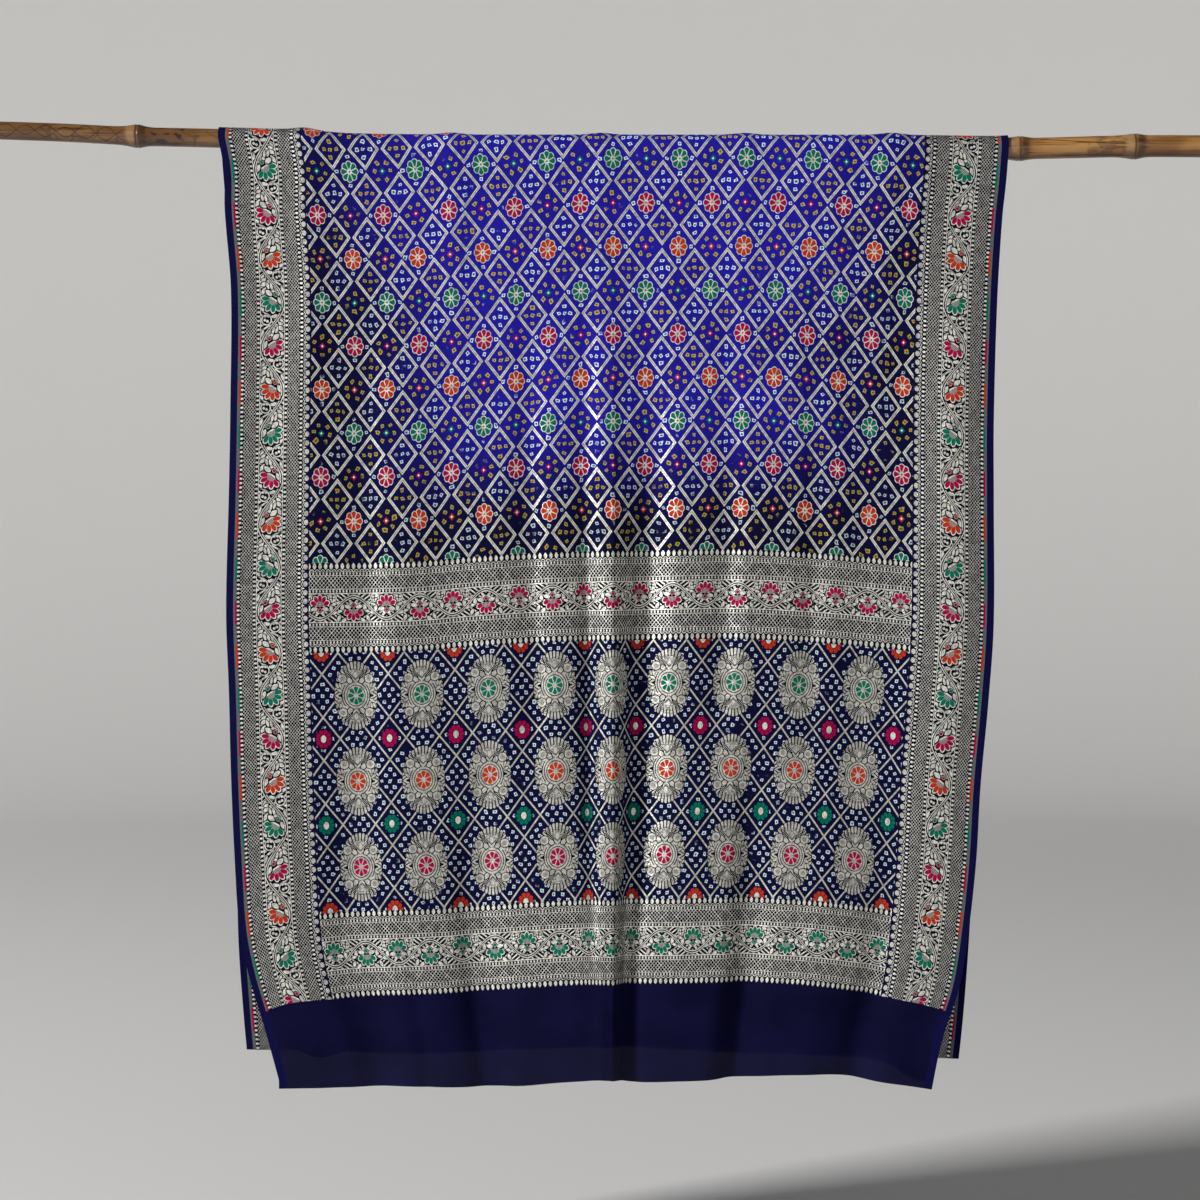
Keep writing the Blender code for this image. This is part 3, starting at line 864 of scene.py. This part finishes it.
def body_weave():
    material, shader, flat, across, along = start_cloth("saree_body")
    up = along - FIRST_ROW
    row = (up / CELL_HEIGHT).math("ROUND")
    column = (across / CELL_WIDTH).math("ROUND")
    x, y = across.repeat(CELL_WIDTH), up.repeat(CELL_HEIGHT)
    with_flower = (row + column).zigzag(2.0)
    out = abs(x) / (CELL_WIDTH / 2) + abs(y) / (CELL_HEIGHT / 2)  # 0 mid ground cell, 2 mid diamond
    in_diamond = out > 1.15

    # The royal blue is a painted sheen: a broad patch in the middle, wider towards the pole
    mottle = flat.cloth_noise(7.0, 3.0)
    spread = (along - 1050.0).most(0.0) * 0.30 + 430.0
    sheen_patch = (abs(across - 12.0) + mottle * 90.0 - spread).fade(50.0, -205.0)
    sheen_patch = sheen_patch * (along + mottle * 60.0).fade(830.0, 1010.0)
    colour = coats(NAVY, (sheen_patch, ROYAL), (mottle.fade(0.3, 0.8) * 0.25, NAVY))

    # Dots stand in rings of six round the clusters, in fours round the flowers and in fives in the diamonds
    wx, wy, skew, strength = uneven(flat, x, y, 6.0)
    six = (wy.math("ARCTAN2", wx) + row * 0.7 + column * 0.45).repeat(pi / 3)
    ring = wx.far(wy * 0.9)
    six = square_off(ring * six.math("COSINE") - 12.2, ring * six.math("SINE"), skew)
    four = square_off(abs(wx) - 18.6, wy, skew).least(square_off(wx, abs(wy) - 21.2, skew))
    dx, dy = (wx - CELL_WIDTH / 2).repeat(CELL_WIDTH), (wy - CELL_HEIGHT / 2).repeat(CELL_HEIGHT)
    five = square_off(abs(dx) - 9.3, dy, skew).least(square_off(dx, abs(dy) - 11.9, skew))
    five = five.least(square_off(dx, dy, skew))
    apart = in_diamond.choose(with_flower.choose(six, four), five)
    half_row = (up / CELL_HEIGHT).math("FLOOR") + (across / CELL_WIDTH).math("FLOOR")
    pale = in_diamond.choose(with_flower, half_row.zigzag(2.0))
    faint = sheen_patch.choose(0.70, 1.00)
    ring_colour, eye_colour = pale.paint(YELLOW, PALE_BLUE), pale.paint(BROWN, NAVY)
    colour = dye_dots(colour, ring_colour, eye_colour, apart, strength, faint)

    # Woven on top: the clusters' coloured seeds, the diamonds' double lines and the round flowers
    thread = three_colours(row, GREEN, ORANGE, PINK)
    seed = abs(x) + abs(y) * 0.85
    in_cluster = 1.0 - with_flower
    whole, petals, middle = round_flower(x, y, 13.2, 16.0)
    petals = petals.most(middle < 0.09) * with_flower
    zari = out.within(1.150, 0.102).most(whole * with_flower)
    colour = coats(
        colour,
        ((seed < 4.6) * in_cluster, thread),
        ((seed < 1.7) * in_cluster, PALE_BLUE),
        (zari, ZARI),
        (out.within(1.150, 0.026) * 0.55, NAVY),
        (petals, thread),
    )
    finish_cloth(shader, flat, colour, zari * (1.0 - petals))
    return material


# The side borders: brocade of silvery zari over navy. From the selvedge in: a plain strip, a grey one, a
# dashed line, a vine of half flowers between two hatched strips with beads, and last a row of pearls.

VINE_PITCH = 64.5
PALLU_SHRINKS = 1.0304  # every repeat is shorter beside the pallu
ANY_HALF_FLOWER = 760.7  # one of the half flowers, where that starts
VINE_MIDDLE = 62.3  # from the selvedge
VINE_HALF = 18.3
GREY_SILK = (0.120, 0.120, 0.125, 1.0)
SELVEDGE = (0.0030, 0.0032, 0.044, 1.0)
PETAL_TURN = 0.576  # between the petals of a half flower


def beads(out, middle, half, along, pitch):
    """The dark gaps round a row of beads."""
    off_bead = (along.repeat(pitch) / (pitch * 0.26)).far((out - middle) / (half * 0.85))
    return out.within(middle, half) * (off_bead > 1.0)


def hatch(out, along, pitch, slope, bright=0.0):
    """The dark holes of a net of zari thread, filled along brighter zigzags."""
    rising, falling = out * slope + along, out * slope - along
    holes = (rising.zigzag(pitch) > pitch * 0.074) * (falling.zigzag(pitch) > pitch * 0.074)
    return holes * (rising.zigzag(pitch * 4).least(falling.zigzag(pitch * 4)) > pitch * bright)


def shape_leaf(x, y, middle, turn, length, width):
    """A pointed leaf: 1 on its edge, less inside."""
    cos_turn, sin_turn = cos(turn), sin(turn)
    start = -(middle[0] * cos_turn + middle[1] * sin_turn) / length
    aside_start = -(middle[1] * cos_turn - middle[0] * sin_turn) / width
    onward = y.math("MULTIPLY_ADD", sin_turn / length, start)
    onward = x.math("MULTIPLY_ADD", cos_turn / length, onward)
    aside = y.math("MULTIPLY_ADD", cos_turn / width, aside_start)
    aside = x.math("MULTIPLY_ADD", -sin_turn / width, aside)
    return onward.math("MULTIPLY_ADD", onward, abs(aside))


def shape_half_flower(x, y, reach, length, width):
    """Five petals that open towards +y: their shape, 1 on its edge, and the hatched base inside them."""
    out = x.far(y)
    turn = x.math("ARCTAN2", y)
    from_petal = turn.repeat(PETAL_TURN)
    edge = ((out * from_petal.math("COSINE") - reach) / length).far(out * from_petal.math("SINE") / width)
    opened = abs(turn) < 2.5 * PETAL_TURN
    return edge + (1.0 - opened) * 9.0, (out < reach - length * 0.55) * opened


def inlay(ground, shape, gap=1.22):
    """Adds a light shape, with a dark gap round it, to a mask of zari."""
    return ground.least(shape > gap).most(shape < 1.0)


def lay_leaves(ground, x, y, leaves):
    """Leaves laid over each other, with a dark gap round each."""
    for middle, turn, length, width in leaves:
        ground = inlay(ground, shape_leaf(x, y, middle, turn, length, width), 1.60)
    return ground


def lay_berries(ground, spot, middles, radius, gap):
    for middle in middles:
        ground = inlay(ground, spot.apart(middle) / radius, gap)
    return ground


def lay_stem(ground, off_stem):
    """A double stem, with a dark gap on both sides of it and one in its middle."""
    return ground.least(off_stem > 3.3).most(off_stem.within(1.65, 0.80))


def lay_half_flower(ground, shape, base, bud, in_vine):
    """A half flower with its bud: the mask of zari, the coloured petals and the hatched base."""
    bud = bud / 2.5
    petals = (shape < 0.93).most(bud < 1.0) * in_vine
    base = base * in_vine
    return inlay(inlay(ground, shape / 1.25, 1.30).most(base), bud / 1.15, 1.35), petals, base


def colour_flower(ground, petals, base, hatching, thread):
    """The petals in their thread, and the base in darker lines of it over the zari."""
    sockets = {0: 1.0, 6: thread, 7: (0.3, 0.3, 0.3, 1.0)}
    darker = thread.node("Mix", {"data_type": "RGBA", "blend_type": "MULTIPLY"}, sockets, output=2)
    lines = base * (0.50 + 0.45 * (hatching.zigzag(2.0) < 0.5))
    return petals.paint(lines.paint(ground, darker), thread)


# Middle, turn, length and width of the leaves in one pitch, in the order in which they are laid
BORDER_LEAVES = (
    ((-14.0, -27.0), 1.15, 5.4, 2.2), ((12.4, 28.0), 2.50, 5.0, 3.0), ((-12.2, -30.5), 0.60, 4.6, 2.4),
    ((6.4, 25.5), 1.30, 6.0, 2.0), ((1.0, 24.5), 1.33, 6.6, 1.9), ((-4.8, 23.5), 1.10, 7.0, 1.9),
    ((-15.4, 20.5), 1.30, 6.0, 1.9), ((13.0, 17.6), 2.10, 6.6, 2.9), ((15.4, -8.4), 1.05, 4.6, 2.2),
    ((-2.9, -19.0), -0.17, 6.4, 2.8), ((5.2, 15.2), 0.70, 6.4, 3.6), ((-11.6, 3.2), 1.10, 7.0, 3.1),
)
BORDER_BERRIES = ((-1.2, 18.0), (-10.0, 13.6))
CURL_MIDDLE = (9.2, -24.4)
CURL_BERRIES = ((7.0, -18.8), (11.6, -18.6), (11.8, -24.6), (7.8, -26.4))


def border_weave():
    material, shader, flat, across, along = start_cloth("saree_border")
    inward = CLOTH_WIDTH / 2 * MM - abs(across)
    up = along - ANY_HALF_FLOWER
    up = up.most(0.0) + up.least(0.0) * PALLU_SHRINKS
    flower = (up / VINE_PITCH).math("ROUND")
    y = up.repeat(VINE_PITCH)
    lean = flower.zigzag(2.0) * 2.0 - 1.0
    x = (inward - VINE_MIDDLE) * lean
    out = abs(inward - VINE_MIDDLE)
    in_vine = out < VINE_HALF
    thread = three_colours(flower, GREEN, ORANGE, PINK)

    # The vine: its filling, leaves, berries, stem, curl and half flower, laid over each other with dark gaps
    spot = x.across_and_up(y)
    off_stem = abs(x + 16.6 * (y * (pi / VINE_PITCH)).math("COSINE"))
    vine = ((y * 0.80 - x * 0.50).zigzag(5.6) < 1.15) * (off_stem > 3.4)
    vine = lay_leaves(vine, x, y, BORDER_LEAVES)
    vine = lay_berries(vine, spot, BORDER_BERRIES, 2.2, 1.3)
    vine = lay_stem(vine, off_stem)
    curl = spot.apart(CURL_MIDDLE)
    vine = vine.least(curl > 8.6).most(curl.within(7.2, 0.85))
    vine = lay_berries(vine, spot, CURL_BERRIES, 2.0, 1.1)
    fx, fy = (x + 1.8) * 0.819 + (y - 5.0) * 0.574, (x + 1.8) * 0.574 - (y - 5.0) * 0.819
    shape, base = shape_half_flower(fx * 1.06, fy, 13.0, 6.0, 3.60)
    vine, petals, base = lay_half_flower(vine, shape, base, spot.apart((-5.0, 12.3)), in_vine)

    # The rows beside it
    rows = (out > VINE_HALF - 0.6).least(1.0 - beads(out, 21.2, 2.5, up, VINE_PITCH / 10))
    rows = rows * (1.0 - beads(out, 44.6, 2.8, up + 3.0, VINE_PITCH / 10))
    rows = rows * (1.0 - out.within(32.8, 9.0) * hatch(out, up, VINE_PITCH / 12, 1.25))
    rows = rows * (inward > 15.2) * (inward < 109.6)
    arcs = (up + VINE_PITCH / 20).repeat(VINE_PITCH / 10).far(inward - 109.6).within(2.6, 0.40)
    pearl = (up.repeat(VINE_PITCH / 5) / 3.9).far((inward - 116.2) / 3.3)
    tick = ((up + VINE_PITCH / 10).repeat(VINE_PITCH / 5) / 0.9).far((inward - 113.2) / 1.8)
    zari = rows.most(vine * in_vine, arcs * (inward > 109.8), tick < 1.0)
    zari = inlay(zari, pearl, 1.25)
    dash = inward.within(14.3, 1.5) * y.within(0.0, 17.5)
    colour = coats(
        GAP,
        (zari, ZARI),
        # painted shade: the pearls in shaded zari
        (pearl < 1.0, SHADED_ZARI),
        (inward.within(12.6, 2.6), GREY_SILK),
        (inward < 10.4, SELVEDGE),
        ((inward > 110.0).least(1.0 - zari), NAVY),
    )
    petals = petals.most(dash)
    colour = colour_flower(colour, petals, base, fx, thread)
    finish_cloth(shader, flat, colour, zari * (1.0 - petals.most(base)) * (inward > 15.2))
    return material


# The two cross bands of the pallu: the same zari rows round a symmetrical vine whose half flowers open up and
# down in turn, edged with leaf tips. The upper band's flowers are pink, the lower one's green.

BAND_VINE_HALF = 20.8
LEAF_PITCH = CELL_WIDTH / 6
LOWER_MIDDLE = (PLAIN_END + LOWER_BAND) / 2 * MM
UPPER_MIDDLE = (UPPER_BAND + BODY_START) / 2 * MM
UPPER_ROWS_NARROWER = 0.075
BAND_LEAVES = (
    ((16.4, 0.6), 1.45, 6.4, 2.5), ((21.4, -7.4), 0.50, 4.6, 1.9), ((11.6, -10.6), 0.50, 5.2, 1.9),
    ((4.4, -9.2), -0.90, 4.4, 1.7), ((20.0, 5.0), 0.30, 4.0, 2.0), ((21.0, 15.0), 1.20, 5.2, 2.4),
    ((13.2, 17.6), 0.50, 5.0, 2.4),
)
BAND_CURL = (17.8, 14.4)
BAND_BERRIES = ((15.6, 16.4), (20.2, 15.6), (20.0, 11.2), (15.6, 11.8))


def band_weave():
    material, shader, flat, across, along = start_cloth("saree_cross_band")
    upper = along > (LOWER_MIDDLE + UPPER_MIDDLE) / 2
    w = along - upper.choose(LOWER_MIDDLE, UPPER_MIDDLE)
    out = abs(w)
    in_vine = out < BAND_VINE_HALF
    thread = upper.paint(GREEN, PINK)
    opens_down = 1.0 - (across / CELL_WIDTH).math("ROUND").zigzag(2.0)
    x = abs(across.repeat(CELL_WIDTH))
    y = w * (1.0 - opens_down * 2.0)
    spot = x.across_and_up(y)

    off_stem = abs(y + 16.2 * (x * (pi / CELL_WIDTH)).math("COSINE"))
    vine = ((x * 0.62 + y * 0.80).zigzag(5.2) < 1.00) * (off_stem > 3.4)
    vine = lay_leaves(vine, x, y, BAND_LEAVES)
    curl = spot.apart(BAND_CURL)
    scroll = vine.least(curl > 7.0).most(curl.within(5.6, 0.8))
    scroll = lay_berries(scroll, spot, BAND_BERRIES, 1.8, 1.1)
    vine = lay_stem(opens_down.choose(scroll, vine), off_stem)
    vine = inlay(vine, shape_leaf(x, y, (7.9, -1.8), -0.15, 5.2, 3.0), 1.25)
    vine = inlay(vine, shape_leaf(x, y, (3.6, -6.8), 1.0, 3.0, 1.9), 1.3)
    shape, base = shape_half_flower(x * 1.18, y - 1.8, 12.2, 5.0, 3.50)
    vine, petals, base = lay_half_flower(vine, shape, base, spot.apart((0.0, -3.4)), in_vine)

    # The rows beside it
    out = out - upper * (out - BAND_VINE_HALF).most(0.0) * UPPER_ROWS_NARROWER
    rows = (out > BAND_VINE_HALF - 0.6).least(1.0 - beads(out, 24.0, 2.3, across, CELL_WIDTH / 10))
    rows = rows * (1.0 - beads(out, 47.8, 2.3, across, CELL_WIDTH / 10))
    rows = rows * (1.0 - out.within(35.9, 8.8) * hatch(out, across, CELL_WIDTH / 9, 0.92, 0.12))
    rows = rows * (out < 50.6)
    arc = (across + LEAF_PITCH / 2).repeat(LEAF_PITCH).far(out - 50.0).within(3.0, 0.50)
    arc = arc * out.within(51.9, 1.9)
    tip = abs(across.repeat(LEAF_PITCH)) / 2.5
    reach = (out - 57.6) / 4.6
    zari = inlay(rows.most(vine * in_vine, arc), tip + reach * reach, 1.3)
    colour = zari.paint(GAP, ZARI)
    colour = colour_flower(colour, petals, base, x, thread)
    finish_cloth(shader, flat, colour, zari * (1.0 - petals.most(base)))
    return material


# The pallu's field, between the bands: large oval zari medallions in staggered rows, small rosettes between
# them, one thin zari line round every cell, and pale dots in threes. All of it stands on one lattice.

PALLU_CELL = 62.6
PALLU_ROW = 259.5
MEDALLION_WIDTH = 31.0  # half sizes
MEDALLION_HEIGHT = 49.0
FLOWER_WIDTH = 12.4
FLOWER_HEIGHT = 14.2
RIM_PETAL = 2 * pi / 36
BLOSSOM = (19.2, 24.8)
BARBS = (((23.6, 7.4), 0.55, 4.6, 1.9), ((26.6, 14.4), 1.05, 4.4, 1.7), ((22.6, 14.8), 1.30, 4.2, 1.8))


def pallu_weave():
    material, shader, flat, across, along = start_cloth("saree_pallu")
    up = along - PALLU_ROW
    x, y = across.repeat(CELL_WIDTH), up.repeat(PALLU_CELL)
    out = abs(x) / (CELL_WIDTH / 2) + abs(y) / (PALLU_CELL / 2)
    line = out.within(1.0, 0.062)

    # Dots on thirds of each cell
    wx, wy, skew, strength = uneven(flat, across, up, 5.0)
    rising = (wx / CELL_WIDTH + wy / PALLU_CELL).repeat(1.0)
    falling = (wx / CELL_WIDTH - wy / PALLU_CELL).repeat(1.0)
    third, fourth = rising.repeat(0.27), falling.repeat(0.27)
    apart = square_off((third + fourth) * (CELL_WIDTH / 2), (third - fourth) * (PALLU_CELL / 2), skew)
    apart = apart + abs(rising).most(abs(falling)).fade(0.38, 0.42) * 9.0
    colour = dye_dots(NAVY, PALE_BLUE, GAP, apart + 0.2, strength, 0.90)

    # Rosettes on every second cell of the even rows
    row = (up / PALLU_CELL).math("ROUND")
    thread = three_colours(row, ORANGE, PINK, GREEN)
    double = 2 * CELL_WIDTH
    side, height = (across - CELL_WIDTH).repeat(double), up.repeat(2 * PALLU_CELL)
    rosette_out = (side / 11.8).far(height / 13.6)
    turn = height.math("ARCTAN2", side).zigzag(pi / 5)
    rosette = rosette_out + turn * turn * 1.6 < 1.0
    heart = abs(side / 4.4).far(height / 5.6) + abs(side) * 0.03 < 1.0
    dark_petals = (turn > 0.25).most(rosette_out < 0.50) * 0.60
    colour = coats(
        colour,
        # painted shade: the cells' thin lines in shaded zari
        (line, SHADED_ZARI),
        (rosette_out < 1.12, NAVY),
        (rosette, thread),
        (rosette * dark_petals, NAVY),
        (heart, ZARI),
    )

    # Medallions on every second cell of the odd rows. Their dark lines mirror about both axes
    big_x = across.repeat(double)
    big_up = (up - PALLU_CELL).repeat(2 * PALLU_CELL)
    side, height = abs(big_x), abs(big_up)
    spot = side.across_and_up(height)
    oval = (side / MEDALLION_WIDTH).far(height / MEDALLION_HEIGHT)
    turn = (side / MEDALLION_WIDTH).math("ARCTAN2", height / MEDALLION_HEIGHT)
    petal = turn.zigzag(RIM_PETAL)
    medallion = oval + petal * petal * 7.0 < 1.02
    feathers = (petal > RIM_PETAL * 0.33) * (oval > 0.78) * (height > 17.0)
    slant = height - side * 1.02 - 20.3
    chevrons = abs(slant).within(2.9, 0.80) * (height < 38.0)
    chevrons = chevrons.most((abs(slant) < 1.15) * side.within(9.0, 4.4))
    drop = (side / 2.7).far((height - 30.6) / 4.6)
    specks = flat.cloth_noise(430.0).fade(0.42, 0.56) * (slant > 3.6) * (height < 41.0) * 0.6
    dark = feathers.most(chevrons, specks).least(drop > 1.0).most(drop.within(1.15, 0.14) * 0.6)
    leaf_side = shape_leaf(side, height, (8.8, 21.6), 0.95, 6.4, 3.4)
    dark = dark.least(leaf_side > 1.0).most(leaf_side.within(1.16, 0.22))
    feather = (height * 0.95 + side * 0.62).zigzag(5.0).math("SUBTRACT", 0.9)
    dark = dark.most((feather < 0.0) * (side > 20.5) * (height < 19.0))
    bow = (side / 19.6).far(height / 22.5)
    dark = dark.most(bow.within(1.03, 0.035) * (height < 15.0))
    beak = side.within(21.5, 1.9) * height.within(0.0, 1.5)
    dark = dark.most(beak, abs(side - 24.4) + height * 0.8 < 1.5)
    for barb in BARBS:
        barb = shape_leaf(side, height, *barb)
        dark = dark.least(barb > 1.0).most(barb.within(1.24, 0.24))
    blossom = spot.apart(BLOSSOM)
    scallop = (side - BLOSSOM[0]).math("ARCTAN2", height - BLOSSOM[1]).zigzag(pi / 4)
    dark = dark.least(blossom > 6.0).most((blossom + scallop * 1.5).within(7.2, 0.60))
    dark = dark.most((blossom < 3.4) * (0.25 + 0.45 * flat.cloth_noise(900.0).fade(0.45, 0.55)))
    collar = (side / FLOWER_WIDTH).far(height / FLOWER_HEIGHT)
    dark = dark.least(collar > 1.32).most(collar.within(1.37, 0.050) * (side > 5.0))
    dark = dark.most(collar.within(1.07, 0.045))
    whole, petals, _ = round_flower(big_x, big_up, FLOWER_WIDTH, FLOWER_HEIGHT)
    dark = dark * (1.0 - whole) * medallion
    petals = petals * medallion
    around = (oval + petal * petal * 7.0 < 1.05) * (1.0 - medallion)
    zari = line.most(heart) * (rosette_out > 1.12).most(heart) * (1.0 - around)
    zari = zari.most(medallion) * (1.0 - dark)
    # Painted shade: the medallions are shaded zari under their dark lines and petals
    colour = coats(colour, (around, NAVY), (medallion, SHADED_ZARI), (dark, GAP), (petals, thread))
    finish_cloth(shader, flat, colour, zari * (1.0 - petals))
    return material


# The plain end below the pallu: bare navy georgette, sheer enough that the layer behind shows through it,
# with a brighter, closer-woven selvedge down each side and a raw, slightly wavy hem.

SHEER = (0.0034, 0.0032, 0.030, 1.0)
SHEER_SHADE = (0.0022, 0.0021, 0.022, 1.0)


def plain_weave():
    material, shader, flat, across, along = start_cloth("saree_plain_end")
    inward = CLOTH_WIDTH / 2 * MM - abs(across)
    edge = inward.fade(15.0, 13.0)
    mottle = flat.cloth_noise(9.0, 3.0, (1.0, 1.6, 1.0))
    colour = edge.paint(mottle.fade(0.3, 0.7).paint(SHEER, SHEER_SHADE), SELVEDGE)
    crepe = flat.cloth_noise(900.0, 1.0)
    feed(shader, "Base Color", colour)
    feed(shader, "Alpha", edge.most(0.972 + 0.04 * crepe).least(1.0))
    shader.inputs["Roughness"].default_value = 0.80
    relief = flat.node("Bump", {}, {"Strength": 0.25, "Distance": 0.0005, "Height": crepe + mottle})
    feed(shader, "Normal", relief)
    return material


saree_materials = [body_weave(), border_weave(), band_weave(), pallu_weave(), plain_weave()]
for stretch, width_and_length in (
    (saree_front, (CLOTH_WIDTH, FRONT_STRETCH)),
    (saree_back, (CLOTH_WIDTH, 1.29)),
    (saree_inner, (CLOTH_WIDTH, 2.69)),
):
    for material in saree_materials:
        stretch.data.materials.append(material)
    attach(stretch, "root")
    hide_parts("saree_cloth")
